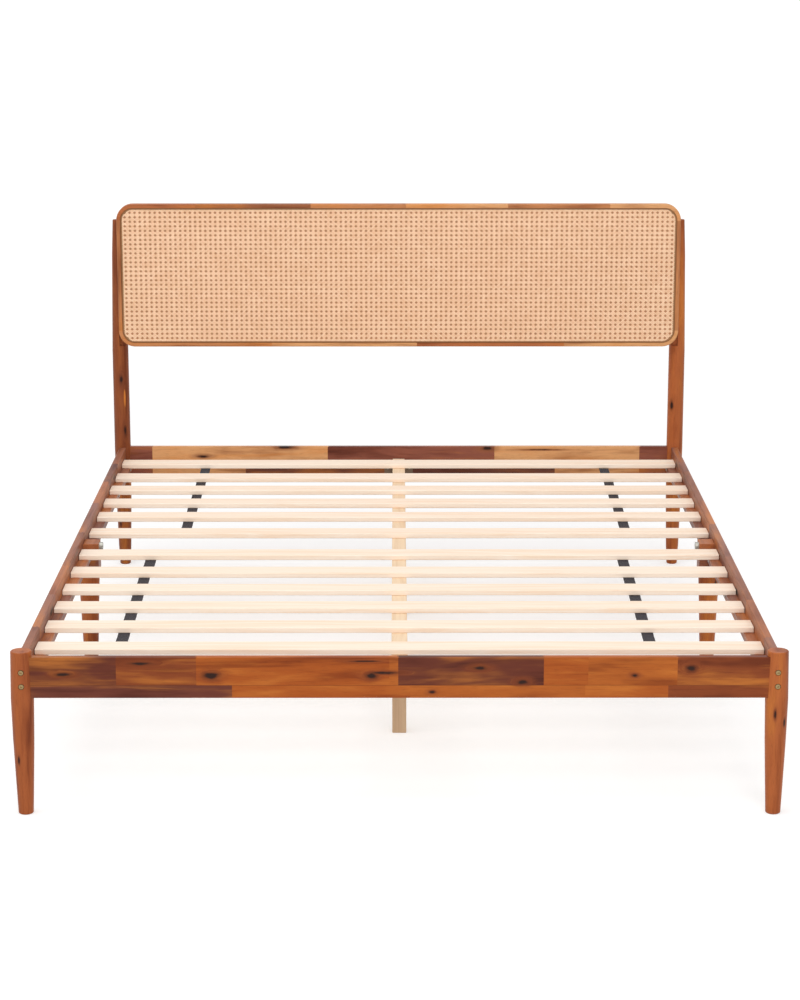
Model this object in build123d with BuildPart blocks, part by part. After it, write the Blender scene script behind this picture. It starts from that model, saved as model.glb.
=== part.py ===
# A queen-size acacia bed frame with turned legs, a cane headboard and two slat mats.
# X runs across the bed, Y from the foot to the head, Z up from the floor.
# The origin is on the floor, midway between the four corner legs. All sizes in millimetres.
import os

from build123d import *

os.makedirs("parts", exist_ok=True)

# The mattress that the frame is built round, and the room left beside it.
mattress_width = 1524
mattress_length = 2032
mattress_side_play = 5
mattress_end_play = 8

# The four rails between the legs.
rail_thickness = 17
rail_height = 87
rail_bottom = 253
rail_edge_round = 1.5
foot_rail_back_offset = 3.5
pocket_floor_offset = 11.5
pocket_play = 0.15

# Twin tenons at each end of the foot rail and the head rail, above and below the bed bolts.
rail_tenon_length = 12
rail_tenon_thickness = 8
rail_tenon_height = 14
rail_tenon_heights = (264, 326)
tenon_play = 0.15

# Corner legs: the axis lies outside the side rail's inner face by leg_axis_outset.
leg_axis_outset = 10
foot_leg_outline = ((0, 15.6), (71, 18.5), (160, 21.9), (249, 23.85), (351, 21.8))
foot_leg_top_chamfer = 1.5
leg_foot_chamfer = 2

# Headboard posts, each one piece with its rear leg.
post_outline = ((0, 14.8), (55, 17.5), (190, 21), (337, 22.5), (614, 22.2), (881, 17), (980, 13))
post_top_chamfer = 1

# Ledges along the side rails, and the slats that lie on them.
ledge_width = 22
ledge_height = 18
ledge_top = 306
ledge_leg_gap = 3
ledge_edge_round = 1
slat_width = 60
slat_thickness = 12.5
slat_end_play = 1.5
slat_edge_round = 2.5

# The middle of each mat's first slat, the room from its last slat's middle to the rail,
# and the shares of the way between the two that lie between one slat and the next.
rear_mat_first_slat = 124
rear_mat_head_gap = 101.5
rear_mat_shares = (173, 150, 151, 150, 172)
front_mat_first_slat = -90
front_mat_foot_gap = 145
front_mat_shares = (165, 155, 150, 157, 164.5)

# Webbing straps under each slat mat.
strap_width = 26
strap_thickness = 1.4
strap_tail = 24
rear_strap_left = -534.5
rear_strap_right = 568
front_strap_left = -594.5
front_strap_right = 535.5

# Middle legs under the side rails, with the block that carries each.
mid_leg_axis_inset = 10
mid_leg_outline = ((0, 15.6), (75, 19), (165, 22.3), (225, 25), (253, 25.3))
block_length = 50
block_width = 37
block_top = 322
block_edge_round = 1.5

# Centre beam on its two steel hangers, with three square legs.
beam_width = 34
beam_height = 50
beam_end_play = 0.3
beam_side_play = 0.4
beam_edge_round = 2
centre_leg_width = 32
centre_leg_pitch = 490
centre_leg_edge_round = 2
centre_leg_foot_chamfer = 1
hanger_sheet = 2.5
hanger_reach = 30
hanger_ear_width = 20
hanger_height = 44
hanger_bend_round = 1.2

# Headboard panel: a rounded frame, a board in its rebate, cane over the board and a spline.
panel_bottom = 630
panel_top = 1026
panel_corner_radius = 45
panel_member_width = 45
panel_depth = 24
panel_front_offset = 36
panel_edge_inset = 0.5
moulding_width = 10.5
moulding_round = 3
rebate_depth = 13
spline_width = 6
spline_setback = 1.6
spline_depth = 8
spline_round = 2.4
spline_play = 0.1
cane_setback = 2.4
cane_thickness = 1
stile_tenon_length = 18
stile_tenon_width = 20
stile_tenon_thickness = 5

# Bed bolts through the corner legs into barrel nuts in the side rails.
bolt_radius = 3
bolt_head_radius = 5
bolt_head_play = 1.2
bolt_head_height = 4.6
bolt_seat_offset = 18
bolt_socket_flat = 5
bolt_socket_depth = 2.8
bolt_length = 74
bolt_play = 0.4
bolt_heights = (279.7, 309.5)
rail_bore_length = 50
nut_radius = 5
nut_length = 14
nut_end_distance = 34
nut_play = 0.1
thread_play = 0.05

# Bolt and threaded insert that hold each middle-leg block to its side rail.
block_bolt_radius = 4
block_bolt_head_radius = 9
block_bolt_head_height = 8.5
block_bolt_height = 311.5
block_bolt_socket_flat = 8
block_bolt_socket_depth = 5
block_bolt_length = 48
insert_radius = 6
insert_length = 13

# Hanger bolts that stand out of the middle legs and the centre legs.
stud_radius = 4
stud_length = 60
stud_leg_reach = 30
stud_play = 0.1

# Places worked out from the sizes above.
inner_half_width = mattress_width / 2 + mattress_side_play
leg_x = inner_half_width + leg_axis_outset
inner_length = mattress_length + 2 * mattress_end_play
head_rail_front_offset = rail_thickness / 2
leg_y = (inner_length + foot_rail_back_offset + head_rail_front_offset) / 2
rail_top = rail_bottom + rail_height
foot_rail_back = foot_rail_back_offset - leg_y
head_rail_front = leg_y - head_rail_front_offset
cross_rail_middle = {-1: foot_rail_back - rail_thickness / 2, 1: head_rail_front + rail_thickness / 2}
rail_half_length = leg_x - pocket_floor_offset
side_rail_half_length = leg_y - pocket_floor_offset
side_rail_middle = inner_half_width + rail_thickness / 2
foot_leg_widest = max(radius for height, radius in foot_leg_outline)
post_widest = max(radius for height, radius in post_outline)
corner_radius = {-1: foot_leg_widest, 1: post_widest}
bolt_bore_depth = {end: corner_radius[end] + pocket_floor_offset + rail_bore_length for end in (-1, 1)}
slat_half_length = inner_half_width - slat_end_play
ledge_half_length = leg_y - foot_leg_widest - ledge_leg_gap
beam_bottom = ledge_top - beam_height
panel_half_width = leg_x - panel_edge_inset
panel_front = leg_y - panel_front_offset
panel_back = panel_front + panel_depth
panel_middle = (panel_bottom + panel_top) / 2
stile_bottom = panel_bottom + panel_member_width
stile_top = panel_top - panel_member_width
stile_inner = panel_half_width - panel_member_width
board_inset = moulding_width + spline_width
mid_leg_x = inner_half_width - mid_leg_axis_inset
centre_leg_places = (-centre_leg_pitch, 0, centre_leg_pitch)
sides = {"left": -1, "right": 1}
corners = [(side, end) for side in sides.values() for end in (-1, 1)]


def slat_places(first, last, shares):
    # The middle of each slat of a mat, from its first slat to its last.
    places = [first]
    for share in shares:
        places.append(places[-1] + (last - first) * share / sum(shares))
    return places


rear_slats = slat_places(rear_mat_first_slat, head_rail_front - rear_mat_head_gap, rear_mat_shares)
front_slats = slat_places(front_mat_first_slat, foot_rail_back + front_mat_foot_gap, front_mat_shares)
# Slats are numbered from the head of the bed to its foot.
all_slats = rear_slats[::-1] + front_slats


def keep(piece, name):
    piece.part.label = name
    export_step(piece.part, f"parts/{name}.step")


def box_between(low, high, mode=Mode.ADD):
    # A block given by its lowest and highest corners.
    with Locations(tuple((a + b) / 2 for a, b in zip(low, high))):
        Box(*[b - a for a, b in zip(low, high)], mode=mode)


def side_span(side, inner, outer):
    # The lower and upper X of a stretch that lies from inner to outer on one side of the bed.
    return sorted((side * inner, side * outer))


def pin(spots, radius, depth, mode=Mode.ADD):
    # Round pins that go in from each spot, against the way it faces.
    with Locations(*spots):
        Cylinder(radius, depth, align=(Align.CENTER, Align.CENTER, Align.MAX), mode=mode)


def drill(spots, radius, depth):
    pin(spots, radius, depth, Mode.SUBTRACT)


def bolt(seats, radius, length, head_radius, head_height, socket_flat, socket_depth):
    # Bolts with hexagon sockets, each with its head standing on its seat.
    tops = [seat.offset(head_height) for seat in seats]
    pin(seats, radius, length)
    pin(tops, head_radius, head_height)
    with BuildSketch(*tops) as hexagons:
        RegularPolygon(socket_flat / 2, 6, major_radius=False)
    extrude(hexagons.sketch, amount=-socket_depth, mode=Mode.SUBTRACT)


def bolt_spots(side, end):
    # Where the bed bolts of one corner enter: facing out of the foot (-1) or the head (1).
    return [
        Plane((side * side_rail_middle, end * (leg_y + corner_radius[end]), height), z_dir=(0, end, 0))
        for height in bolt_heights
    ]


def nut_spots(side, end):
    # Mouths of the barrel nut bores on the side rail's inner face.
    place = end * (side_rail_half_length - nut_end_distance)
    return [
        Plane((side * inner_half_width, place, height), z_dir=(-side, 0, 0))
        for height in bolt_heights
    ]


def block_bolt_spot(side):
    # The face of a middle-leg block that the bolt head bears on.
    return Plane((side * (inner_half_width - block_width), 0, block_bolt_height), z_dir=(-side, 0, 0))


def mid_stud_spot(side):
    # Lower end of the hanger bolt in a middle leg.
    return Plane((side * mid_leg_x, 0, rail_bottom - stud_leg_reach), z_dir=(0, 0, -1))


def centre_stud_spot(place):
    # Lower end of the hanger bolt in a centre leg.
    return Plane((0, place, beam_bottom - stud_leg_reach), z_dir=(0, 0, -1))


def rail_tenons(end, play, mode=Mode.ADD):
    # The tenons at both ends of a cross rail, or the mortises for them, larger by the play.
    reach = rail_half_length + rail_tenon_length + play
    half_thickness = rail_tenon_thickness / 2 + play
    half_height = rail_tenon_height / 2 + play
    for height in rail_tenon_heights:
        box_between(
            (-reach, cross_rail_middle[end] - half_thickness, height - half_height),
            (reach, cross_rail_middle[end] + half_thickness, height + half_height),
            mode,
        )


def stile_tenons(side, play, mode=Mode.ADD):
    # The tenons at both ends of a panel stile, or the mortises for them, larger by the play.
    place = side * (panel_half_width - panel_member_width / 2)
    middle = panel_front + (rebate_depth + panel_depth) / 2
    half_width = stile_tenon_width / 2 + play
    half_thickness = stile_tenon_thickness / 2 + play
    reach = stile_tenon_length + play
    box_between(
        (place - half_width, middle - half_thickness, stile_bottom - reach),
        (place + half_width, middle + half_thickness, stile_top + reach),
        mode,
    )


def turn(x, y, outline):
    # A solid of revolution on an upright axis, from heights and radii listed from the floor up.
    flank = [(radius, height) for height, radius in outline]
    with BuildPart() as turned:
        with BuildSketch(Plane((x, y, 0), x_dir=(1, 0, 0), z_dir=(0, -1, 0))):
            with BuildLine():
                Polyline((0, 0), *flank, (0, flank[-1][1]), close=True)
            make_face()
        revolve(axis=Axis((x, y, 0), (0, 0, 1)))
        chamfer(turned.edges().sort_by(Axis.Z)[0], leg_foot_chamfer)
    return turned.part


def corner_joints(side, end):
    # Cuts in a foot leg (-1) or a post (1): rail pockets, mortises and bed bolt holes.
    widest = corner_radius[end]
    low, high = rail_bottom - pocket_play, rail_top + pocket_play
    cross_middle = cross_rail_middle[end]
    half_pocket = rail_thickness / 2 + pocket_play
    # Pocket for the cross rail, open towards the middle of the bed.
    near, far = side_span(side, leg_x - widest - 1, rail_half_length)
    box_between(
        (near, cross_middle - half_pocket, low), (far, cross_middle + half_pocket, high), Mode.SUBTRACT
    )
    rail_tenons(end, tenon_play, Mode.SUBTRACT)
    # Pocket for the side rail, open along the bed.
    near, far = side_span(side, side_rail_middle - half_pocket, side_rail_middle + half_pocket)
    start, stop = side_span(end, leg_y - widest - 1, side_rail_half_length)
    box_between((near, start, low), (far, stop, high), Mode.SUBTRACT)
    with Locations(*bolt_spots(side, end)):
        CounterBoreHole(
            radius=bolt_radius + bolt_play,
            counter_bore_radius=bolt_head_radius + bolt_head_play,
            counter_bore_depth=widest - bolt_seat_offset,
            depth=widest + bolt_seat_offset,
        )


def panel_outline(inset, mode=Mode.ADD):
    # The panel's rounded outline, drawn in by the given inset.
    with Locations((0, panel_middle)):
        RectangleRounded(
            2 * (panel_half_width - inset),
            panel_top - panel_bottom - 2 * inset,
            panel_corner_radius - inset,
            mode=mode,
        )


def panel_ring(low, high):
    # One length of the panel's frame: the rounded ring, cut for the board and left between two corners.
    with BuildPart() as ring:
        with BuildSketch(Plane.XZ.offset(-panel_back)):
            panel_outline(0)
        extrude(amount=panel_depth)
        fillet(ring.faces().sort_by(Axis.Y)[0].edges(), moulding_round)
        with BuildSketch(Plane.XZ.offset(-panel_front)):
            panel_outline(moulding_width)
        extrude(amount=-rebate_depth, mode=Mode.SUBTRACT)
        box_between(
            (-stile_inner, panel_front, stile_bottom), (stile_inner, panel_back, stile_top), Mode.SUBTRACT
        )
        box_between(low, high, Mode.INTERSECT)
    return ring.part


# Foot legs.
for side_name, side in sides.items():
    with BuildPart() as foot_leg:
        add(turn(side * leg_x, -leg_y, foot_leg_outline))
        chamfer(foot_leg.edges().sort_by(Axis.Z)[-1], foot_leg_top_chamfer)
        corner_joints(side, -1)
    keep(foot_leg, f"foot_leg_{side_name}")

# Headboard posts, with a flat housing in the front of each for the panel.
for side_name, side in sides.items():
    with BuildPart() as headboard_post:
        add(turn(side * leg_x, leg_y, post_outline))
        chamfer(headboard_post.edges().sort_by(Axis.Z)[-1], post_top_chamfer)
        corner_joints(side, 1)
        near, far = side_span(side, leg_x - post_widest - 1, panel_half_width + pocket_play)
        box_between(
            (near, leg_y - post_widest - 1, panel_bottom - pocket_play),
            (far, panel_back, panel_top),
            Mode.SUBTRACT,
        )
    keep(headboard_post, f"headboard_post_{side_name}")

# Foot rail and head rail.
for name, end in (("foot_rail", -1), ("head_rail", 1)):
    with BuildPart() as cross_rail:
        with BuildSketch(Plane.YZ.offset(-rail_half_length)):
            with Locations((cross_rail_middle[end], rail_bottom + rail_height / 2)):
                Rectangle(rail_thickness, rail_height)
        extrude(amount=2 * rail_half_length)
        fillet(cross_rail.edges().filter_by(Axis.X), rail_edge_round)
        rail_tenons(end, 0)
    keep(cross_rail, name)

# Side rails.
for side_name, side in sides.items():
    near, far = side_span(side, inner_half_width, inner_half_width + rail_thickness)
    with BuildPart() as side_rail:
        with BuildSketch(Plane.XZ.offset(-side_rail_half_length)):
            with Locations(((near + far) / 2, rail_bottom + rail_height / 2)):
                Rectangle(rail_thickness, rail_height)
        extrude(amount=2 * side_rail_half_length)
        fillet(side_rail.edges().filter_by(Axis.Y), rail_edge_round)
        for end in (-1, 1):
            drill(bolt_spots(side, end), bolt_radius + bolt_play, bolt_bore_depth[end])
            drill(nut_spots(side, end), nut_radius + nut_play, nut_length + nut_play)
        drill([block_bolt_spot(side)], insert_radius + nut_play, block_width + insert_length)
    keep(side_rail, f"side_rail_{side_name}")

# Ledges, each from near a corner leg to the block of the middle leg.
for side_name, side in sides.items():
    for end_name, end in (("front", -1), ("rear", 1)):
        near, far = side_span(side, inner_half_width - ledge_width, inner_half_width)
        start, stop = side_span(end, block_length / 2, ledge_half_length)
        with BuildPart() as ledge:
            box_between((near, start, ledge_top - ledge_height), (far, stop, ledge_top))
            inner_edges = ledge.edges().filter_by(Axis.Y).sort_by(lambda edge: abs(edge.center().X))[:2]
            fillet(inner_edges, ledge_edge_round)
        keep(ledge, f"ledge_{side_name}_{end_name}")

# Blocks of the middle legs.
for side_name, side in sides.items():
    near, far = side_span(side, inner_half_width - block_width, inner_half_width)
    with BuildPart() as mid_leg_block:
        box_between((near, -block_length / 2, rail_bottom), (far, block_length / 2, block_top))
        fillet(mid_leg_block.faces().sort_by(Axis.Z)[-1].edges(), block_edge_round)
        drill([block_bolt_spot(side)], block_bolt_radius + bolt_play, block_width)
        drill([mid_stud_spot(side)], stud_radius + stud_play, stud_length)
    keep(mid_leg_block, f"mid_leg_block_{side_name}")

# Middle legs, turned, under the side rails and their blocks.
for side_name, side in sides.items():
    with BuildPart() as mid_leg:
        add(turn(side * mid_leg_x, 0, mid_leg_outline))
        drill([mid_stud_spot(side)], stud_radius + stud_play, stud_length)
    keep(mid_leg, f"mid_leg_{side_name}")

# Centre beam, between the back plates of its two hangers.
with BuildPart() as centre_beam:
    box_between(
        (-beam_width / 2, foot_rail_back + hanger_sheet + beam_end_play, beam_bottom),
        (beam_width / 2, head_rail_front - hanger_sheet - beam_end_play, ledge_top),
    )
    fillet(centre_beam.edges().filter_by(Axis.Y), beam_edge_round)
    for place in centre_leg_places:
        drill([centre_stud_spot(place)], stud_radius + stud_play, stud_length)
keep(centre_beam, "centre_beam")

# Centre legs.
for name, place in zip(("front", "middle", "rear"), centre_leg_places):
    with BuildPart() as centre_leg:
        with BuildSketch():
            with Locations((0, place)):
                Rectangle(centre_leg_width, centre_leg_width)
        extrude(amount=beam_bottom)
        fillet(centre_leg.edges().filter_by(Axis.Z), centre_leg_edge_round)
        chamfer(centre_leg.faces().sort_by(Axis.Z)[0].edges(), centre_leg_foot_chamfer)
        drill([centre_stud_spot(place)], stud_radius + stud_play, stud_length)
    keep(centre_leg, f"centre_leg_{name}")

# Beam hangers: bent sheet steel, a channel under the beam with two ears against the rail.
channel_half = beam_width / 2 + beam_side_play + hanger_sheet
channel_floor = beam_bottom - hanger_sheet
for name, end, face in (("foot", -1, -foot_rail_back), ("head", 1, head_rail_front)):
    with BuildPart() as beam_hanger:
        start, stop = side_span(end, face - hanger_reach, face)
        box_between(
            (-channel_half, start, channel_floor), (channel_half, stop, channel_floor + hanger_height)
        )
        outer_edges = beam_hanger.edges().filter_by(Axis.Y).group_by(Axis.Z)[0]
        fillet(outer_edges, hanger_bend_round + hanger_sheet)
        start, stop = side_span(end, face - hanger_reach, face - hanger_sheet)
        box_between(
            (hanger_sheet - channel_half, start, channel_floor + hanger_sheet),
            (channel_half - hanger_sheet, stop, channel_floor + hanger_height),
            Mode.SUBTRACT,
        )
        start, stop = side_span(end, face - hanger_sheet, face)
        box_between(
            (-channel_half - hanger_ear_width, start, channel_floor + hanger_bend_round + hanger_sheet),
            (channel_half + hanger_ear_width, stop, channel_floor + hanger_height),
        )
    keep(beam_hanger, f"beam_hanger_{name}")

# Panel frame: two rails with the rounded corners and mortises, and two stiles tenoned between.
for name, low, high in (("bottom", panel_bottom, stile_bottom), ("top", stile_top, panel_top)):
    with BuildPart() as panel_rail:
        add(panel_ring((-panel_half_width, panel_front, low), (panel_half_width, panel_back, high)))
        for side in sides.values():
            stile_tenons(side, tenon_play, Mode.SUBTRACT)
    keep(panel_rail, f"panel_{name}_rail")
for side_name, side in sides.items():
    near, far = side_span(side, stile_inner, panel_half_width)
    with BuildPart() as panel_stile:
        add(panel_ring((near, panel_front, stile_bottom), (far, panel_back, stile_top)))
        stile_tenons(side, 0)
    keep(panel_stile, f"panel_stile_{side_name}")

# The board behind the cane, lying on the floor of the rebate.
with BuildPart() as panel_board:
    with BuildSketch(Plane.XZ.offset(-panel_front - rebate_depth)):
        panel_outline(board_inset)
    extrude(amount=rebate_depth - cane_setback - cane_thickness)
keep(panel_board, "panel_board")

# Cane webbing over the front of the board.
with BuildPart() as cane_panel:
    with BuildSketch(Plane.XZ.offset(-panel_front - cane_setback - cane_thickness)):
        panel_outline(board_inset)
    extrude(amount=cane_thickness)
keep(cane_panel, "cane_panel")

# Spline wedged in the groove between the moulding and the board.
with BuildPart() as cane_spline:
    with BuildSketch(Plane.XZ.offset(-panel_front - spline_setback - spline_depth)):
        panel_outline(moulding_width + spline_play)
        panel_outline(board_inset - spline_play, Mode.SUBTRACT)
    extrude(amount=spline_depth)
    fillet(cane_spline.faces().sort_by(Axis.Y)[0].edges(), spline_round)
keep(cane_spline, "cane_spline")

# Slats, numbered from the head of the bed.
for number, place in enumerate(all_slats, 1):
    with BuildPart() as slat:
        with BuildSketch(Plane.YZ.offset(-slat_half_length)):
            with Locations((place, ledge_top + slat_thickness / 2)):
                RectangleRounded(slat_width, slat_thickness, slat_edge_round)
        extrude(amount=2 * slat_half_length)
    keep(slat, f"slat_{number:02d}")

# Straps, from the first slat of each mat to its last.
for name, slats, place in (
    ("rear_left", rear_slats, rear_strap_left),
    ("rear_right", rear_slats, rear_strap_right),
    ("front_left", front_slats, front_strap_left),
    ("front_right", front_slats, front_strap_right),
):
    with BuildPart() as strap:
        box_between(
            (place - strap_width / 2, min(slats) - strap_tail, ledge_top - strap_thickness),
            (place + strap_width / 2, max(slats) + strap_tail, ledge_top),
        )
    keep(strap, f"strap_{name}")

# Bed bolts, two at each corner.
bolt_seats = [
    spot.offset(bolt_seat_offset - corner_radius[end])
    for side, end in corners
    for spot in bolt_spots(side, end)
]
with BuildPart() as bed_bolts:
    bolt(
        bolt_seats,
        bolt_radius,
        bolt_length,
        bolt_head_radius,
        bolt_head_height,
        bolt_socket_flat,
        bolt_socket_depth,
    )
keep(bed_bolts, "bed_bolts")

# Barrel nuts across the side rails, each threaded on its bolt.
with BuildPart() as barrel_nuts:
    for side, end in corners:
        pin(nut_spots(side, end), nut_radius, nut_length)
    for side, end in corners:
        drill(bolt_spots(side, end), bolt_radius + thread_play, bolt_bore_depth[end])
keep(barrel_nuts, "barrel_nuts")

# Bolts of the middle-leg blocks, and the threaded inserts in the side rails that take them.
block_bolt_seats = [block_bolt_spot(side) for side in sides.values()]
with BuildPart() as block_bolts:
    bolt(
        block_bolt_seats,
        block_bolt_radius,
        block_bolt_length,
        block_bolt_head_radius,
        block_bolt_head_height,
        block_bolt_socket_flat,
        block_bolt_socket_depth,
    )
keep(block_bolts, "block_bolts")

with BuildPart() as block_inserts:
    pin([seat.offset(-block_width) for seat in block_bolt_seats], insert_radius, insert_length)
    drill(block_bolt_seats, block_bolt_radius + thread_play, block_width + insert_length)
keep(block_inserts, "block_inserts")

# Hanger bolts of the middle and centre legs.
with BuildPart() as leg_studs:
    pin([mid_stud_spot(side) for side in sides.values()], stud_radius, stud_length)
    pin([centre_stud_spot(place) for place in centre_leg_places], stud_radius, stud_length)
keep(leg_studs, "leg_studs")
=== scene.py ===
import math

import bpy
import numpy as np
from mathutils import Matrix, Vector


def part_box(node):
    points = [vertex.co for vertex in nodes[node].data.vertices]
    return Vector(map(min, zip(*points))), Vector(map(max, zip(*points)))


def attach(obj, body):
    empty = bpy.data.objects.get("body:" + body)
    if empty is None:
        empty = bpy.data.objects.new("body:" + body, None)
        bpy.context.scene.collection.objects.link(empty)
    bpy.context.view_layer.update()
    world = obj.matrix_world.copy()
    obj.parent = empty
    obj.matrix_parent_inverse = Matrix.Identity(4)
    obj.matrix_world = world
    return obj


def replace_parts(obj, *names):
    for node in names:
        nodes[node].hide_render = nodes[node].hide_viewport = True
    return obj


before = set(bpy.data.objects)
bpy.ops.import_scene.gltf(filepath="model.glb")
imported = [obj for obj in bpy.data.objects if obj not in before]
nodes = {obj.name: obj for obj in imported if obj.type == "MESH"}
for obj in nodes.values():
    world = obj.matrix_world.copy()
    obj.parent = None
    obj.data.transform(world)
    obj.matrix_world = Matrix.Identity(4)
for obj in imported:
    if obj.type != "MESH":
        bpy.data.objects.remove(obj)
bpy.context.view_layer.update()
print("frame loaded,", len(nodes), "nodes")


# camera
camera = {
    "place": (-0.0065, -6.1947, 1.8816),
    "turn": -0.00143,      # radians, to the left
    "tilt": 0.2308,        # radians, down
    "lens": 94.37,
    "sensor": 36,
}


def makeCamera(s):
    data = bpy.data.cameras.new("camera")
    data.lens = s["lens"]
    data.sensor_width = s["sensor"]
    data.sensor_fit = "AUTO"
    data.clip_end = 200
    eye = bpy.data.objects.new("camera", data)
    eye.location = s["place"]
    look = Vector((
        -math.sin(s["turn"]) * math.cos(s["tilt"]),
        math.cos(s["turn"]) * math.cos(s["tilt"]),
        -math.sin(s["tilt"]),
    ))
    eye.rotation_mode = "QUATERNION"
    eye.rotation_quaternion = look.to_track_quat("-Z", "Y")
    bpy.context.scene.collection.objects.link(eye)
    bpy.context.scene.camera = eye
    bpy.context.scene.view_settings.view_transform = "Standard"


makeCamera(camera)
print("camera set")


# shader maths: a wire is a socket that can be used in sums
class Wire:
    def __init__(self, paint, socket):
        self.paint = paint
        self.socket = socket

    def calc(self, operation, first, second=None):
        values = {0: first} if second is None else {0: first, 1: second}
        return self.paint.add("Math", {"operation": operation}, values)

    def __add__(self, other):
        return self.calc("ADD", self, other)

    def __radd__(self, other):
        return self.calc("ADD", other, self)

    def __sub__(self, other):
        return self.calc("SUBTRACT", self, other)

    def __rsub__(self, other):
        return self.calc("SUBTRACT", other, self)

    def __mul__(self, other):
        return self.calc("MULTIPLY", self, other)

    def __truediv__(self, other):
        return self.calc("DIVIDE", self, other)

    def __gt__(self, other):
        return self.calc("GREATER_THAN", self, other)

    def least(self, other):
        return self.calc("MINIMUM", self, other)

    def most(self, other):
        return self.calc("MAXIMUM", self, other)

    def size(self):
        return self.calc("ABSOLUTE", self)

    def root(self):
        return self.calc("SQRT", self)

    def wave(self):
        return self.calc("SINE", self)

    def zigzag(self, reach):
        return self.calc("PINGPONG", self, reach)

    def rise(self, start, stop):     # 0 up to start, 1 from stop on, smooth between
        return self.paint.add("MapRange", {"interpolation_type": "SMOOTHSTEP"}, {0: self, 1: start, 2: stop})


class Paint:
    def __init__(self, name):
        self.material = bpy.data.materials.new(name)
        self.material.use_nodes = True
        self.tree = self.material.node_tree
        self.tree.nodes.clear()

    def add(self, kind, settings=None, values=None, output=0):
        node = self.tree.nodes.new("ShaderNode" + kind)
        for key, value in (settings or {}).items():
            if key == "stops":
                self.fillRamp(node.color_ramp, value)
            else:
                setattr(node, key, value)
        for key, value in (values or {}).items():
            if isinstance(value, Wire):
                self.tree.links.new(value.socket, node.inputs[key])
            else:
                node.inputs[key].default_value = value
        return Wire(self, node.outputs[output]) if len(node.outputs) else None

    def fillRamp(self, ramp, stops):
        while len(ramp.elements) < len(stops):
            ramp.elements.new(1)
        for element, (place, colour) in zip(ramp.elements, stops):
            element.position = place
            element.color = (*colour, 1)

    def ramp(self, factor, stops, hold="LINEAR"):
        wire = self.add("ValToRGB", {"stops": stops}, {0: factor})
        wire.socket.node.color_ramp.interpolation = hold
        return wire

    def mix(self, factor, first, second, blend="MIX"):
        values = {0: factor}
        for key, value in ((6, first), (7, second)):
            values[key] = value if isinstance(value, Wire) else (*value, 1)
        return self.add("Mix", {"data_type": "RGBA", "blend_type": blend}, values, 2)

    def place(self):     # a point of the piece at rest, in metres
        return self.add("TexCoord", output=3)

    def parts(self, vector):
        split = self.add("SeparateXYZ", values={0: vector})
        outputs = split.socket.node.outputs
        return Wire(self, outputs[0]), Wire(self, outputs[1]), Wire(self, outputs[2])

    def point(self, x, y, z):
        return self.add("CombineXYZ", values={0: x, 1: y, 2: z})

    def noise(self, vector, scale, detail=3, rough=0.55):
        values = {"Vector": vector, "Scale": scale, "Detail": detail, "Roughness": rough}
        return self.add("TexNoise", None, values)

    def bump(self, height, distance, strength=1):
        return self.add("Bump", None, {"Height": height, "Distance": distance, "Strength": strength})

    def finish(self, colour, roughness, normal=None, **fixed):
        values = {"Base Color": colour, "Roughness": roughness}
        values.update({key.replace("_", " "): value for key, value in fixed.items()})
        if normal is not None:
            values["Normal"] = normal
        surface = self.add("BsdfPrincipled", None, values)
        self.add("OutputMaterial", None, {0: surface})
        return self.material


def linear(red, green, blue):     # a colour written as 0 to 255
    shares = (red / 255, green / 255, blue / 255)
    return tuple(c / 12.92 if c <= 0.04 else ((c + 0.055) / 1.055) ** 2.4 for c in shares)


# light, world and floor
lightRig = {
    "sky": 0.68,
    "lamps": (
        # name, place, what it shines at, size, watts
        ("above", (-0.6, -1.2, 5.2), (0, 0.1, 0.3), 4.5, 92),
        ("front", (1.2, -6.5, 2.6), (0, -0.2, 0.5), 3.5, 118),
        ("side", (-5.2, -1.6, 2.6), (0, 0, 0.4), 3.0, 30),
    ),
    "floorReach": 40,
    "floorShade": 0.72,
    "floorGlow": 0.40,       # near the bed, where it keeps the shadow
    "farGlow": 0.60,         # where the lamps no longer reach
    "glowFrom": 1.5,
    "glowTo": 9,
}


def seenDirectly(paint):     # 1 for rays from the camera, a mirror or clear glass
    path = paint.add("LightPath").socket.node.outputs
    rays = ("Is Camera Ray", "Is Glossy Ray", "Is Transmission Ray")
    camera, glossy, through = (Wire(paint, path[name]) for name in rays)
    return camera.most(glossy).most(through)


class SkyPaint(Paint):
    def __init__(self, world):
        self.tree = world.node_tree
        self.tree.nodes.clear()


def makeLight(s):
    world = bpy.data.worlds.new("studio")
    world.use_nodes = True
    bpy.context.scene.world = world
    sky = SkyPaint(world)
    seen = seenDirectly(sky)
    glow = sky.add("Background", None, {0: (1, 1, 1, 1), 1: seen + (1 - seen) * s["sky"]})
    sky.add("OutputWorld", None, {0: glow})
    for name, place, target, size, watts in s["lamps"]:
        data = bpy.data.lights.new(name, "AREA")
        data.shape = "DISK"
        data.size = size
        data.energy = watts
        lamp = bpy.data.objects.new(name, data)
        lamp.location = place
        lamp.rotation_mode = "QUATERNION"
        lamp.rotation_quaternion = (Vector(target) - Vector(place)).to_track_quat("-Z", "Y")
        bpy.context.scene.collection.objects.link(lamp)


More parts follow.
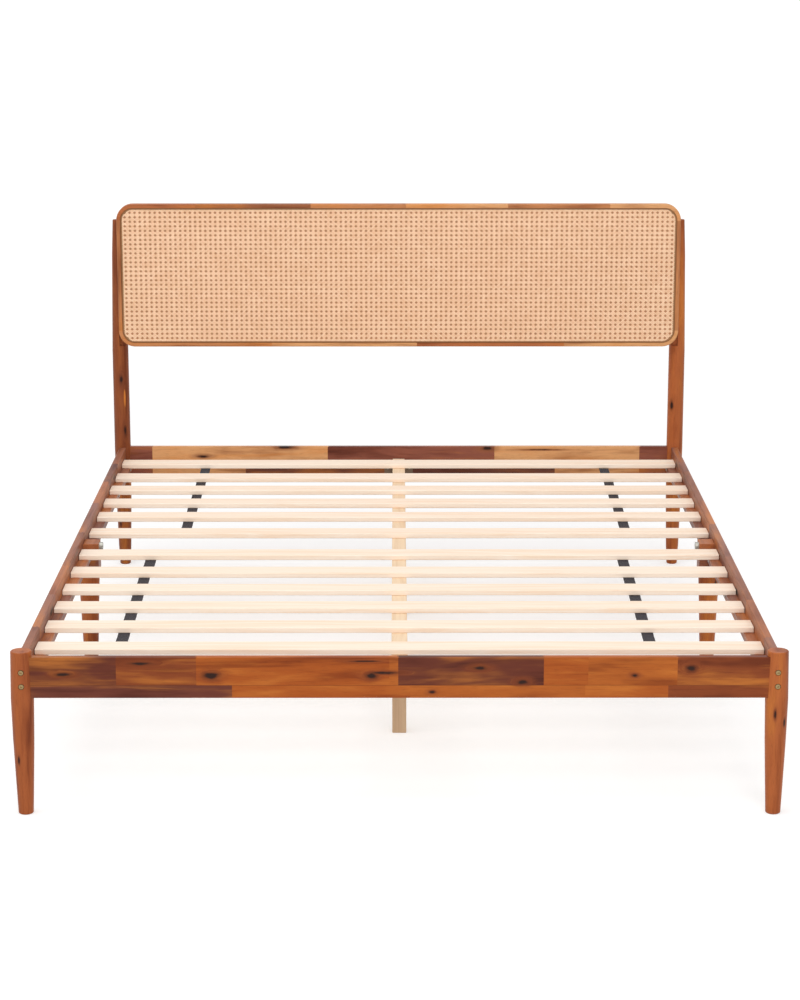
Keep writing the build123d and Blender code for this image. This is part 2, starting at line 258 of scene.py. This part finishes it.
def makeFloor(s):
    reach = s["floorReach"]
    mesh = bpy.data.meshes.new("floor")
    corners = [(-reach, -reach, 0), (reach, -reach, 0), (reach, reach, 0), (-reach, reach, 0)]
    mesh.from_pydata(corners, [], [(0, 1, 2, 3)])
    floor = bpy.data.objects.new("floor", mesh)
    bpy.context.scene.collection.objects.link(floor)
    paint = Paint("floorPaint")
    seen = seenDirectly(paint)
    shade = s["floorShade"]
    matt = paint.add("BsdfDiffuse", None, {0: (shade, shade, shade, 1)})
    x, y, z = paint.parts(paint.place())
    away = (x * x + y * y).root().rise(s["glowFrom"], s["glowTo"])
    near, far = (s["floorGlow"],) * 3, (s["farGlow"],) * 3
    glow = paint.add("Emission", None, {0: paint.mix(away, near, far), 1: seen})
    both = paint.add("AddShader", None, {0: matt, 1: glow})
    paint.add("OutputMaterial", None, {0: both})
    mesh.materials.append(paint.material)


makeLight(lightRig)
makeFloor(lightRig)
print("light and floor set")


def makeMesh(name, points, faces, material, body):
    mesh = bpy.data.meshes.new(name)
    points = np.asarray(points, np.float32)
    faces = np.asarray(faces, np.int32)
    count, corners = faces.shape
    mesh.vertices.add(len(points))
    mesh.vertices.foreach_set("co", points.ravel())
    mesh.loops.add(count * corners)
    mesh.loops.foreach_set("vertex_index", faces.ravel())
    mesh.polygons.add(count)
    mesh.polygons.foreach_set("loop_start", np.arange(0, count * corners, corners, dtype=np.int32))
    mesh.update(calc_edges=True)
    mesh.validate()
    mesh.shade_smooth()
    mesh.materials.append(material)
    piece = bpy.data.objects.new(name, mesh)
    bpy.context.scene.collection.objects.link(piece)
    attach(piece, body)
    return piece


# cane webbing
caneLook = {
    "pitchWide": 0.01382,
    "pitchHigh": 0.01245,
    "holesWide": 110,
    "holesHigh": 29,
    "middle": (0, 0.828),
    "pairOffset": 0.00142,
    "pairWidth": 0.00265,
    "slantWidth": 0.0032,
    "thickness": 0.0005,
    "edgeSlope": 0.00045,     # how much narrower a strand's face is than its back
    "pairLift": 0.00025,
    "slantLift": 0.00058,
    "depth": 0.00245,         # of the middle of the weave behind the panel's front
    "reach": (0.7614, 0.1828),
    "corner": 0.0299,
    "slot": "cane",
}


def insideSpan(start, step, reach, corner):
    # how far a line from start along step lies inside a rounded rectangle, as two factors of step
    factors = np.linspace(-1, 1, 6001)
    x = np.abs(start[0] + step[0] * factors)
    z = np.abs(start[1] + step[1] * factors)
    overX = np.maximum(x - (reach[0] - corner), 0)
    overZ = np.maximum(z - (reach[1] - corner), 0)
    inside = (np.hypot(overX, overZ) <= corner) & (x <= reach[0]) & (z <= reach[1])
    if not inside.any():
        return None
    return factors[inside][0], factors[inside][-1]


def makeStrands(name, lines, width, s, material):
    # lines: each has its points across the panel and how far each lies in front of the weave's middle
    points, faces, count = [], [], 0
    half, face = width / 2, width / 2 - s["edgeSlope"]
    thick = s["thickness"] / 2
    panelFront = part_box("panel_top_rail")[0].y
    for across, lift in lines:
        along = across[-1] - across[0]
        along = along / np.linalg.norm(along)
        side = np.array((-along[1], along[0]))
        rings = []
        for offset, front in ((-half, -thick), (-face, thick), (face, thick), (half, -thick)):
            ring = np.empty((len(across), 3))
            ring[:, [0, 2]] = across + side * offset + np.array(s["middle"])
            ring[:, 1] = panelFront + s["depth"] - (lift + front)
            rings.append(ring)
        points.append(np.stack(rings, 1).reshape(-1, 3))
        n = len(across)
        first = count + np.arange(n - 1)[:, None] * 4
        around = np.arange(4)[None, :]
        nextOne = (around + 1) % 4
        quads = np.stack((first + around, first + nextOne, first + 4 + nextOne, first + 4 + around), 2)
        faces.append(quads.reshape(-1, 4))
        lastRing = count + 4 * (n - 1)
        faces.append(np.array((count + np.arange(3, -1, -1), lastRing + np.arange(4))))
        count += 4 * n
    return makeMesh(name, np.concatenate(points), np.concatenate(faces), material, "root")


def clipLine(knots, lifts, span):
    # keeps the stretch of a line between two distances along it, with a ring at each end
    keep = (knots > span[0] + 0.0004) & (knots < span[1] - 0.0004)
    at = np.concatenate(((span[0],), knots[keep], (span[1],)))
    return at, np.interp(at, knots, lifts)


def uprightLines(s, upright):
    # the pairs of strands that run up, or across, the panel
    pitchAlong, pitchAcross = s["pitchHigh"], s["pitchWide"]
    cells = (s["holesHigh"], s["holesWide"])
    if not upright:
        pitchAlong, pitchAcross = pitchAcross, pitchAlong
        cells = cells[::-1]
    reach = s["reach"]
    offset, lift = s["pairOffset"], s["pairLift"]
    lines = []
    for pair in range(-cells[1] // 2, cells[1] // 2 + 2):
        middle = (pair + (cells[1] % 2) / 2) * pitchAcross
        for twin in (-1, 1):
            place = middle + twin * offset
            start = (place, 0) if upright else (0, place)
            step = (0, 1) if upright else (1, 0)
            span = insideSpan(start, step, reach, s["corner"])
            if span is None:
                continue
            knots, lifts = [], []
            for node in range(-cells[0] // 2 - 1, cells[0] // 2 + 3):
                at = (node + (cells[0] % 2) / 2) * pitchAlong
                sign = twin if upright else -twin
                knots += [at - offset, at + offset, at + pitchAlong / 2]
                lifts += [lift * sign, -lift * sign, 0]
            at, height = clipLine(np.array(knots), np.array(lifts), span)
            across = np.stack((np.full(len(at), place), at) if upright else (at, np.full(len(at), place)), 1)
            lines.append((across, height))
    return lines


def slantLines(s, lean):
    # the single strands that run at a slant, up to the right (lean 1) or to the left (lean -1)
    wide, high = s["pitchWide"], s["pitchHigh"]
    reach, lift = s["reach"], s["slantLift"]
    oddWide, oddHigh = (s["holesWide"] % 2) / 2, (s["holesHigh"] % 2) / 2
    step = np.array((wide * lean, high)) / 2     # from one crossing to the next
    lines = []
    total = s["holesWide"] + s["holesHigh"]
    for number in range(-total // 2 - 2, total // 2 + 3):
        # a crossing with a level pair, halfway between two upright pairs
        start = np.array(((number + 0.5 + oddWide) * wide, oddHigh * high))
        length = 200
        span = insideSpan(start, step * length, reach, s["corner"])
        if span is None:
            continue
        knots = np.arange(-length, length + 1) * 1.0
        # over the upright pairs and under the level ones, or the other way round
        lifts = np.where(knots % 2 == 0, -lean * lift, lean * lift)
        fine = np.arange(-2 * length, 2 * length + 1) / 2
        at, height = clipLine(fine, np.interp(fine, knots, lifts), (span[0] * length, span[1] * length))
        lines.append((start + at[:, None] * step, height))
    return lines


canePaint = {
    "face": linear(253, 215, 180),
    "pale": linear(255, 234, 208),
    "tan": linear(240, 193, 152),
    "rough": 0.42,
    "fibreScale": 260,
    "fibreStretch": 0.03,
    "patchScale": 9,
}


def makeCanePaint(name, turn, s):
    # turn: the strand's lean from upright, in radians
    p = Paint(name)
    x, y, z = p.parts(p.place())
    along = x * math.sin(turn) + z * math.cos(turn)
    across = x * math.cos(turn) - z * math.sin(turn)
    fibre = p.noise(p.point(across, y, along * s["fibreStretch"]), s["fibreScale"] * 8, 2)
    patch = p.noise(p.point(across * 6, y, along), s["patchScale"], 3)
    colour = p.mix(patch.rise(0.38, 0.68), s["tan"], s["face"])
    colour = p.mix(fibre.rise(0.45, 0.75) * 0.6, colour, s["pale"])
    return p.finish(colour, s["rough"] + fibre * 0.12, p.bump(fibre, 0.0002, 0.5), Specular_IOR_Level=0.4)


slantTurn = math.atan2(caneLook["pitchWide"], caneLook["pitchHigh"])
weave = (
    # piece, its material, its lines, which width, lean from upright
    ("cane_up", "caneUp", uprightLines(caneLook, True), "pairWidth", 0),
    ("cane_level", "caneLevel", uprightLines(caneLook, False), "pairWidth", math.pi / 2),
    ("cane_slant_right", "caneRight", slantLines(caneLook, 1), "slantWidth", slantTurn),
    ("cane_slant_left", "caneLeft", slantLines(caneLook, -1), "slantWidth", -slantTurn),
)
for name, paintName, lines, width, turn in weave:
    piece = makeStrands(name, lines, caneLook[width], caneLook, makeCanePaint(paintName, turn, canePaint))
    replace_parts(piece, "cane_panel")
    print(name, len(piece.data.polygons), "faces")


# wood
acacia = {
    "orange": linear(166, 82, 28),
    "amber": linear(174, 92, 34),
    "brown": linear(132, 64, 30),
    "dark": linear(100, 47, 32),
    "plum": linear(106, 54, 40),
    "tan": linear(202, 140, 88),
    "deep": linear(66, 30, 16),
    "gold": linear(208, 126, 52),
    "knot": linear(44, 22, 15),
    "flameShade": (0.5, 0.36, 0.3),
    "grainShade": (0.5, 0.38, 0.34),
    "streakShade": (0.58, 0.46, 0.42),
    # how fine a pattern is across the grain and along it, its detail and its roughness
    "sway": (6, 1.6, 2, 0.55),
    "wobble": (90, 40, 3, 0.55),
    "grain": (46, 2.6, 4, 0.62),
    "streak": (210, 6, 3, 0.55),
    "pores": (1400, 42, 1, 0.55),
    "flame": (17, 3.4, 3, 0.55),
    "swayReach": 2.4,
    "wobbleReach": 1.6,
    "knotReach": 1.3,       # how far the grain bends round a knot
    "fingerPitch": 0.0042,
    "fingerLength": 0.006,
    "glueLine": 0.0009,
}

# glued-up boards: the height of the glue line, then where each block of the lower and upper row starts
boards = {
    "foot": {
        "reach": 0.78,
        "line": 0.2803,
        "lower": ((-0.78, "plum"), (-0.346, "orange"), (0.02, "amber"), (0.38, "orange"), (0.553, "brown")),
        "upper": (
            (-0.78, "dark"), (-0.583, "brown"), (-0.42, "orange"), (-0.02, "amber"),
            (-0.003, "dark"), (0.293, "orange"), (0.385, "amber"), (0.569, "brown"),
        ),
        # knots: along, height, half length, half height
        "knots": (
            (-0.387, 0.3, 0.013, 0.0062), (-0.531, 0.327, 0.018, 0.0026), (-0.058, 0.301, 0.01, 0.005),
            (-0.032, 0.307, 0.02, 0.0026), (0.483, 0.301, 0.0055, 0.0032), (0.165, 0.317, 0.012, 0.0034),
            (0.252, 0.287, 0.009, 0.0042), (0.598, 0.316, 0.009, 0.0058), (-0.69, 0.303, 0.012, 0.0034),
            (0.067, 0.266, 0.005, 0.0024), (-0.07, 0.332, 0.022, 0.0014),
        ),
    },
    "head": {
        "reach": 0.78,
        "line": 0.3,
        "lower": ((-0.78, "plum"), (-0.692, "tan"), (-0.429, "dark"), (0.442, "tan"), (0.682, "plum")),
        "upper": ((-0.78, "plum"), (-0.692, "tan"), (-0.195, "plum"), (0.272, "tan"), (0.682, "plum")),
        "knots": (
            (-0.551, 0.312, 0.012, 0.003), (-0.32, 0.338, 0.02, 0.0036),
            (0.25, 0.335, 0.012, 0.004), (0.4, 0.331, 0.036, 0.0013),
        ),
    },
    "sideLeft": {
        "reach": 1.05,
        "line": 0.3,
        "lower": (
            (-1.05, "plum"), (-0.7, "orange"), (-0.42, "brown"),
            (-0.1, "amber"), (0.24, "plum"), (0.6, "orange"),
        ),
        "upper": (
            (-1.05, "brown"), (-0.82, "plum"), (-0.55, "orange"), (-0.3, "brown"),
            (0.02, "plum"), (0.33, "orange"), (0.58, "dark"), (0.8, "brown"),
        ),
        "knots": ((-0.62, 0.32, 0.022, 0.007), (0.12, 0.275, 0.018, 0.006), (0.7, 0.325, 0.02, 0.005)),
    },
    "sideRight": {
        "reach": 1.05,
        "line": 0.3,
        "lower": (
            (-1.05, "orange"), (-0.76, "brown"), (-0.36, "amber"),
            (0.08, "plum"), (0.42, "orange"), (0.75, "brown"),
        ),
        "upper": (
            (-1.05, "plum"), (-0.9, "orange"), (-0.6, "brown"), (-0.22, "plum"),
            (0.1, "orange"), (0.36, "brown"), (0.7, "plum"),
        ),
        "knots": ((-0.45, 0.315, 0.024, 0.006), (0.3, 0.27, 0.02, 0.006), (0.86, 0.322, 0.018, 0.006)),
    },
    "ledge": {
        "reach": 1.05,
        "line": 0.297,
        "lower": (
            (-1.05, "plum"), (-0.66, "orange"), (-0.3, "plum"),
            (0.1, "brown"), (0.5, "orange"), (0.8, "plum"),
        ),
        "upper": (
            (-1.05, "orange"), (-0.74, "plum"), (-0.4, "orange"),
            (0.05, "plum"), (0.36, "orange"), (0.7, "brown"),
        ),
        "knots": (),
    },
    "moulding": {
        "reach": 0.78,
        "line": 0.828,
        "lower": ((-0.78, "amber"), (-0.35, "tan"), (0.05, "orange"), (0.46, "tan")),
        "upper": (
            (-0.78, "orange"), (-0.56, "brown"), (-0.24, "amber"),
            (0.02, "tan"), (0.3, "amber"), (0.58, "tan"),
        ),
        "knots": (),
    },
    # one-piece turned legs and posts: heights first, then the place across the bed
    "turned": {
        "knots": (
            (0.535, -0.775, 0.01, 0.004), (0.388, -0.767, 0.011, 0.003),
            (0.46, 0.765, 0.009, 0.003), (0.22, 0.772, 0.008, 0.002),
            (0.12, -0.786, 0.007, 0.002), (0.2, 0.792, 0.008, 0.002),
        ),
        "paleStreak": (0.482, -0.766, 0.027, 0.0026),
    },
}

turnedTones = {"orange": linear(174, 95, 50), "brown": linear(148, 78, 42)}
darkPostTones = {"orange": linear(146, 78, 42), "brown": linear(118, 60, 34)}
# side rails and ledges: partly their own wood tones, partly painted sheen, lighter and greyer, as the top
# and inner faces look at a grazing angle
sideTonesAndSheen = {
    "orange": linear(172, 104, 66), "amber": linear(180, 116, 78), "brown": linear(152, 96, 72),
    "plum": linear(142, 92, 76), "dark": linear(120, 74, 60),
}
headTones = {
    "tan": linear(218, 160, 108), "amber": linear(196, 130, 82), "brown": linear(150, 90, 56),
    "plum": linear(142, 82, 64), "dark": linear(108, 64, 50), "orange": linear(176, 104, 62),
}


def spotDistance(p, along, across, spot, wobble):
    # 1 on the edge of an oval at the spot, 0 at its middle
    place, level, halfLong, halfHigh = spot
    far, off = (along - place) / halfLong, (across - level) / halfHigh
    return (far * far + off * off).root() + wobble


def grainAxes(p, long):
    # the two axes across the grain, then the one along it
    axes = list(p.parts(p.place()))
    along = axes.pop(long)
    return (*axes, along)


def fibres(p, axes, spread, offsets=(0, 0, 0)):
    # a pattern drawn out along the grain
    across, lengthwise, detail, rough = spread
    first, second, along = axes
    x = first * across + offsets[0]
    y = second * across + offsets[1]
    z = along * lengthwise + offsets[2]
    return p.noise(p.point(x, y, z), 1.0, detail, rough)


def blockRow(p, share, board, row, s):
    # the tone of each block in a row, and a number of its own for its grain
    stops = [((start + board["reach"]) / (2 * board["reach"]), s[tone]) for start, tone in board[row]]
    numbers = [(place, (n * 0.37 % 1,) * 3) for n, (place, tone) in enumerate(stops)]
    return p.ramp(share, stops, "CONSTANT"), p.ramp(share, numbers, "CONSTANT")


def makeAcacia(name, long, s, board, across=1, base="orange"):
    # long: the axis that the grain follows; across: which of the other two axes the knots are placed by
    p = Paint(name)
    axes = grainAxes(p, long)
    first, second, along = axes
    level = axes[across]
    sway = fibres(p, axes, s["sway"])
    if "line" in board:
        fingers = (first / s["fingerPitch"]).zigzag(1) * s["fingerLength"]
        share = (along + fingers + board["reach"]) / (2 * board["reach"])
        rows = [blockRow(p, share, board, row, s) for row in ("lower", "upper")]
        above = level > board["line"]
        body = p.mix(above, rows[0][0], rows[1][0])
        shift = p.mix(above, rows[0][1], rows[1][1]) * 3     # each block has its own grain
    else:
        body = p.mix(sway.rise(0.35, 0.65) * 0.45, s[base], s["brown"])
        shift = 0.0
    rings = sway * s["swayReach"]
    wobble = (fibres(p, axes, s["wobble"]) - 0.5) * s["wobbleReach"]
    knots = None
    for spot in board["knots"]:
        distance = spotDistance(p, along, level, spot, wobble)
        knots = distance if knots is None else knots.least(distance)
    if knots is not None:
        rings = rings + (1 - knots.rise(0.3, 3.4)) * s["knotReach"]
    grain = fibres(p, axes, s["grain"], (rings + shift, rings, shift))
    streak = fibres(p, axes, s["streak"], (rings * 2, shift, 0))
    pores = fibres(p, axes, s["pores"])
    flame = fibres(p, axes, s["flame"], (shift, rings * 0.4, shift))
    colour = p.mix(flame.rise(0.5, 0.72) * 0.6, body, s["gold"])
    colour = p.mix((1 - flame.rise(0.32, 0.5)) * 0.75, colour, s["flameShade"], "MULTIPLY")
    colour = p.mix(grain.rise(0.52, 0.74) * 0.4, colour, s["gold"])
    colour = p.mix((1 - grain.rise(0.3, 0.47)) * 0.7, colour, s["grainShade"], "MULTIPLY")
    colour = p.mix(streak.rise(0.54, 0.76) * 0.4, colour, s["streakShade"], "MULTIPLY")
    colour = p.mix(pores.rise(0.6, 0.72) * 0.35, colour, s["deep"])
    if knots is not None:
        colour = p.mix((1 - knots.rise(0.8, 4.2)) * 0.75, colour, s["brown"])
        colour = p.mix((1 - knots.rise(0.7, 2.2)) * 0.6, colour, s["deep"])
        colour = p.mix(1 - knots.rise(0.5, 1.25), colour, s["knot"])
    if "paleStreak" in board:
        pale = spotDistance(p, along, level, board["paleStreak"], wobble * 0.5)
        colour = p.mix((1 - pale.rise(0.7, 1.1)) * 0.9, colour, s["gold"])
    if "line" in board:
        seam = 1 - (level - board["line"]).size().rise(0.0002, s["glueLine"])
        colour = p.mix(seam * 0.45, colour, s["deep"])
    height = grain * 0.3 + pores * 0.5
    normal = p.bump(height, 0.0004, 0.25)
    return p.finish(colour, 0.36 + streak * 0.12, normal, Specular_IOR_Level=0.16)


pine = {
    "pale": linear(251, 234, 216),
    "warm": linear(247, 221, 196),
    "line": linear(232, 194, 160),
    "sway": (3, 0.9, 2, 0.55),
    "grain": (38, 1.1, 3, 0.6),
    "fine": (420, 5, 2, 0.55),
}

# the centre beam and leg: darker copies of the slat pine, partly their own tone, partly painted shade of the
# space under the slats
beamTonesAndShade = {"pale": linear(238, 212, 180), "warm": linear(228, 198, 164), "line": linear(206, 170, 134)}
legTonesAndShade = {"pale": linear(216, 184, 150), "warm": linear(206, 172, 138), "line": linear(180, 144, 110)}
boardTones = {"pale": linear(196, 139, 100), "warm": linear(186, 128, 90), "line": linear(166, 110, 74)}


def makePine(name, long, s):
    p = Paint(name)
    axes = grainAxes(p, long)
    sway = fibres(p, axes, s["sway"])
    grain = fibres(p, axes, s["grain"], (sway * 5, 0, 0))
    fine = fibres(p, axes, s["fine"])
    colour = p.ramp(grain, ((0.3, s["warm"]), (0.5, s["pale"]), (0.62, s["warm"]), (0.7, s["pale"])))
    colour = p.mix(fine.rise(0.5, 0.8) * 0.3, colour, s["line"])
    return p.finish(colour, 0.62, p.bump(fine, 0.0003, 0.2), Specular_IOR_Level=0.3)


def plainPaint(name, colour, rough, metal=0):
    p = Paint(name)
    speck = p.noise(p.place(), 900, 2)
    dull = tuple(c * 0.6 for c in colour)
    colour = p.mix(speck.rise(0.4, 0.7) * 0.15, colour, dull)
    return p.finish(colour, rough + speck * 0.1, Metallic=metal)


webbing = {
    "thread": linear(74, 71, 76),
    "pale": linear(112, 108, 112),
    "dark": linear(34, 32, 36),
    "pitch": 0.0011,
}


def makeWebbing(s):
    p = Paint("webbingWeave")
    x, y, z = p.parts(p.place())
    turn = math.pi / s["pitch"]
    ribs = (x * turn).wave() * (y * turn).wave()
    fuzz = p.noise(p.place(), 2600, 2)
    colour = p.mix(ribs.rise(-0.6, 0.5), s["dark"], s["thread"])
    colour = p.mix(fuzz.rise(0.5, 0.75) * 0.5, colour, s["pale"])
    return p.finish(colour, 0.8, p.bump(ribs + fuzz * 0.4, 0.0003, 0.5), Specular_IOR_Level=0.2)


paints = {
    "turned": makeAcacia("acaciaTurned", 2, acacia | turnedTones, boards["turned"], 0),
    "darkPost": makeAcacia("acaciaDarkPost", 2, acacia | darkPostTones, boards["turned"], 0),
    "foot": makeAcacia("acaciaFoot", 0, acacia, boards["foot"]),
    "stile": makeAcacia("acaciaStile", 2, acacia | headTones, {"knots": ()}, 0, "amber"),
    "head": makeAcacia("acaciaHead", 0, acacia | headTones, boards["head"]),
    "moulding": makeAcacia("acaciaMoulding", 0, acacia | headTones, boards["moulding"]),
    "sideLeft": makeAcacia("acaciaSideLeft", 1, acacia | sideTonesAndSheen, boards["sideLeft"]),
    "sideRight": makeAcacia("acaciaSideRight", 1, acacia | sideTonesAndSheen, boards["sideRight"]),
    "ledge": makeAcacia("acaciaLedge", 1, acacia | sideTonesAndSheen, boards["ledge"]),
    "slatWood": makePine("pineAcross", 0, pine),
    "beamWood": makePine("pineAlong", 1, pine | beamTonesAndShade),
    "postWood": makePine("pineUp", 2, pine | legTonesAndShade),
    "steel": plainPaint("zincSteel", linear(170, 168, 160), 0.35, 1),
    "hanger": plainPaint("hangerSteel", linear(126, 108, 92), 0.45, 1),
    "brass": plainPaint("boltBrass", linear(156, 134, 96), 0.32, 1),
    "webbing": makeWebbing(webbing),
    "board": makePine("backBoard", 0, pine | boardTones),
    "bead": plainPaint("splineCane", linear(150, 106, 64), 0.5),
}


# what a node's name starts with, and its paint
paintPlaces = (
    ("slat_", "slatWood"), ("centre_beam", "beamWood"), ("centre_leg", "postWood"),
    ("foot_rail", "foot"), ("head_rail", "head"),
    ("panel_top_rail", "moulding"), ("panel_bottom_rail", "moulding"),
    ("side_rail_left", "sideLeft"), ("side_rail_right", "sideRight"),
    ("ledge", "ledge"), ("mid_leg_block", "ledge"),
    ("strap", "webbing"), ("panel_board", "board"), ("cane_spline", "bead"), ("bed_bolts", "brass"),
    ("barrel_nuts", "steel"), ("block_", "steel"), ("leg_studs", "steel"), ("beam_hanger", "hanger"),
    ("headboard_post_left", "darkPost"), ("panel_stile", "stile"),
)


def paintFor(name):
    for start, paint in paintPlaces:
        if name.startswith(start):
            return paint
    return "turned"


for name, node in nodes.items():
    for holder in node.material_slots:
        holder.material = paints[paintFor(name)]
print("CAD nodes painted")


# straps
strapForm = {
    "sag": 0.0022,         # how far it hangs between two slats
    "step": 0.004,
    "edge": 0.0012,        # the thick woven edge
    "easing": 0.012,       # the length over which it drops away from a slat
    "lift": 0.0002,
    "slot": "webbing",
}


def makeStrap(node, slats, body, s, material):
    low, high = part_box(node)
    along = np.arange(low.y, high.y + s["step"] / 2, s["step"])
    held = [(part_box(name)[0].y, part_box(name)[1].y) for name in slats]
    drop = np.full(len(along), s["sag"])
    for start, stop in held:
        away = np.maximum(np.maximum(start - along, along - stop), 0)
        drop = np.minimum(drop, s["sag"] * (1 - np.exp(-away / s["easing"])))
    middle, half = (low.x + high.x) / 2, (high.x - low.x) / 2
    top, thick = high.z - s["lift"], high.z - low.z - 2 * s["lift"]
    edge = s["edge"]
    left = [(-half, 0.2), (-half + edge * 0.4, 0), (-half + edge, 0), (-half + edge * 1.5, 0.18), (0, 0.15)]
    upper = left + [(-x, depth) for x, depth in left[-2::-1]]
    outline = upper + [(x, 1 - depth) for x, depth in upper[::-1]]
    count = len(outline)
    points = np.empty((len(along), count, 3))
    for n, (x, depth) in enumerate(outline):
        points[:, n, 0] = middle + x
        points[:, n, 1] = along
        points[:, n, 2] = top - depth * thick - drop
    first = np.arange(len(along) - 1)[:, None] * count
    around = np.arange(count)[None, :]
    onward = (around + 1) % count
    faces = np.stack((first + around, first + onward, first + count + onward, first + count + around), 2)
    ends = []
    for ring, order in ((0, 1), (len(along) - 1, -1)):
        base = ring * count
        for n in range(count // 2 - 1):
            quad = (base + n, base + n + 1, base + count - 2 - n, base + count - 1 - n)
            ends.append(quad[::-order])
    faces = np.concatenate((faces.reshape(-1, 4), np.array(ends)))
    piece = makeMesh("woven_" + node, points.reshape(-1, 3), faces, material, body)
    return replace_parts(piece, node)


mats = {
    "rear": ("slat_mat_rear", [f"slat_{n:02d}" for n in range(1, 7)]),
    "front": ("slat_mat_front", [f"slat_{n:02d}" for n in range(7, 13)]),
}
for matName, (body, slats) in mats.items():
    for side in ("left", "right"):
        makeStrap(f"strap_{matName}_{side}", slats, body, strapForm, paints["webbing"])
print("straps made")


# screw and tack heads
headForm = {
    "sides": 16,
    "sink": 0.0006,       # how far the head's rim goes into what it holds
    "ledgeRadius": 0.004,
    "hangerRadius": 0.0042,
    "postRadius": 0.0055,
    "tackRadius": 0.0038,
    "ledgeHeight": 0.297,
    "hangerHeight": 0.280,
    "postHeights": (0.775, 0.88),
    "postTaperFrom": 0.69,
    "postTaper": 0.0274,
    "dome": 0.45,         # a head's height as a share of its radius
    "slatsHeld": (0, 2, 5),     # slats of a mat that lie over a ledge screw
    "hangerGauge": 0.0025,
    "hangerInset": 0.01,
    "slot": "zinc_steel",
}


def makeHeads(name, spots, radius, body, s, material, cross=True):
    # spots: where each head's middle lies, and the way it faces
    points, faces, sides = [], [], s["sides"]
    turn = np.arange(sides) * 2 * math.pi / sides
    star = np.where(np.arange(sides) % 4 == 0, 0.52, 0.2) if cross else np.full(sides, 0.4)
    rise = radius * s["dome"]
    # each ring: how far out its points lie, and how high, as shares of radius and rise
    hollow, floor = (0.35, 0.3) if cross else (1.03, 1.04)
    rings = (
        (np.ones(sides), -s["sink"] / rise), (np.ones(sides), 0.35), (np.full(sides, 0.86), 0.75),
        (np.full(sides, 0.62), 0.95), (star, 1.0), (star * 0.8, hollow), (star * 0.1, floor),
    )
    for middle, facing in spots:
        facing = Vector(facing).normalized()
        right = facing.orthogonal().normalized()
        up = facing.cross(right)
        base = len(points) * len(rings) * sides
        cloud = []
        for reach, level in rings:
            for n in range(sides):
                out = right * math.cos(turn[n]) + up * math.sin(turn[n])
                cloud.append(Vector(middle) + out * radius * reach[n] + facing * rise * level)
        points.append(np.array(cloud))
        for ring in range(len(rings) - 1):
            for n in range(sides):
                a, b = base + ring * sides + n, base + ring * sides + (n + 1) % sides
                faces.append((a, b, b + sides, a + sides))
        for ring, flip in ((0, -1), (len(rings) - 1, 1)):
            start = base + ring * sides
            for n in range(sides // 2 - 1):
                quad = (start + n, start + n + 1, start + sides - 2 - n, start + sides - 1 - n)
                faces.append(quad[::flip])
    return makeMesh(name, np.concatenate(points), faces, material, body)


def headSpots(s):
    ledges, hangers, posts = [], [], []
    for side in ("left", "right"):
        low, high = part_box(f"ledge_{side}_rear")
        inner = high.x if side == "left" else low.x
        facing = (1, 0, 0) if side == "left" else (-1, 0, 0)
        for matBody, slats in mats.values():
            for n in s["slatsHeld"]:
                slatLow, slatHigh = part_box(slats[n])
                ledges.append(((inner, (slatLow.y + slatHigh.y) / 2, s["ledgeHeight"]), facing))
        postLow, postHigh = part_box(f"headboard_post_{side}")
        place = (postLow.x + postHigh.x) / 2
        for level in s["postHeights"]:
            back = postHigh.y - (level - s["postTaperFrom"]) * s["postTaper"]
            posts.append(((place, back - s["sink"], level), (0, 1, 0)))
    for end, facing in (("foot", (0, 1, 0)), ("head", (0, -1, 0))):
        low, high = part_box(f"beam_hanger_{end}")
        face = low.y + s["hangerGauge"] if end == "foot" else high.y - s["hangerGauge"]
        for x in (low.x + s["hangerInset"], high.x - s["hangerInset"]):
            hangers.append(((x, face, s["hangerHeight"]), facing))
    return ledges, hangers, posts


ledgeSpots, hangerSpots, postSpots = headSpots(headForm)
for name, spots, radius in (
    ("ledge_screw_heads", ledgeSpots, "ledgeRadius"),
    ("hanger_screw_heads", hangerSpots, "hangerRadius"),
    ("panel_screw_heads", postSpots, "postRadius"),
):
    makeHeads(name, spots, headForm[radius], "root", headForm, paints["steel"])
for matName, (body, slats) in mats.items():
    spots = []
    for side in ("left", "right"):
        low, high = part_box(f"strap_{matName}_{side}")
        under = low.z + strapForm["lift"]
        for slatName in slats:
            slatLow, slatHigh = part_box(slatName)
            middle = ((low.x + high.x) / 2, (slatLow.y + slatHigh.y) / 2, under)
            spots.append((middle, (0, 0, -1)))
    makeHeads(f"tack_heads_{matName}", spots, headForm["tackRadius"], body, headForm, paints["steel"], False)
print("screw and tack heads made")
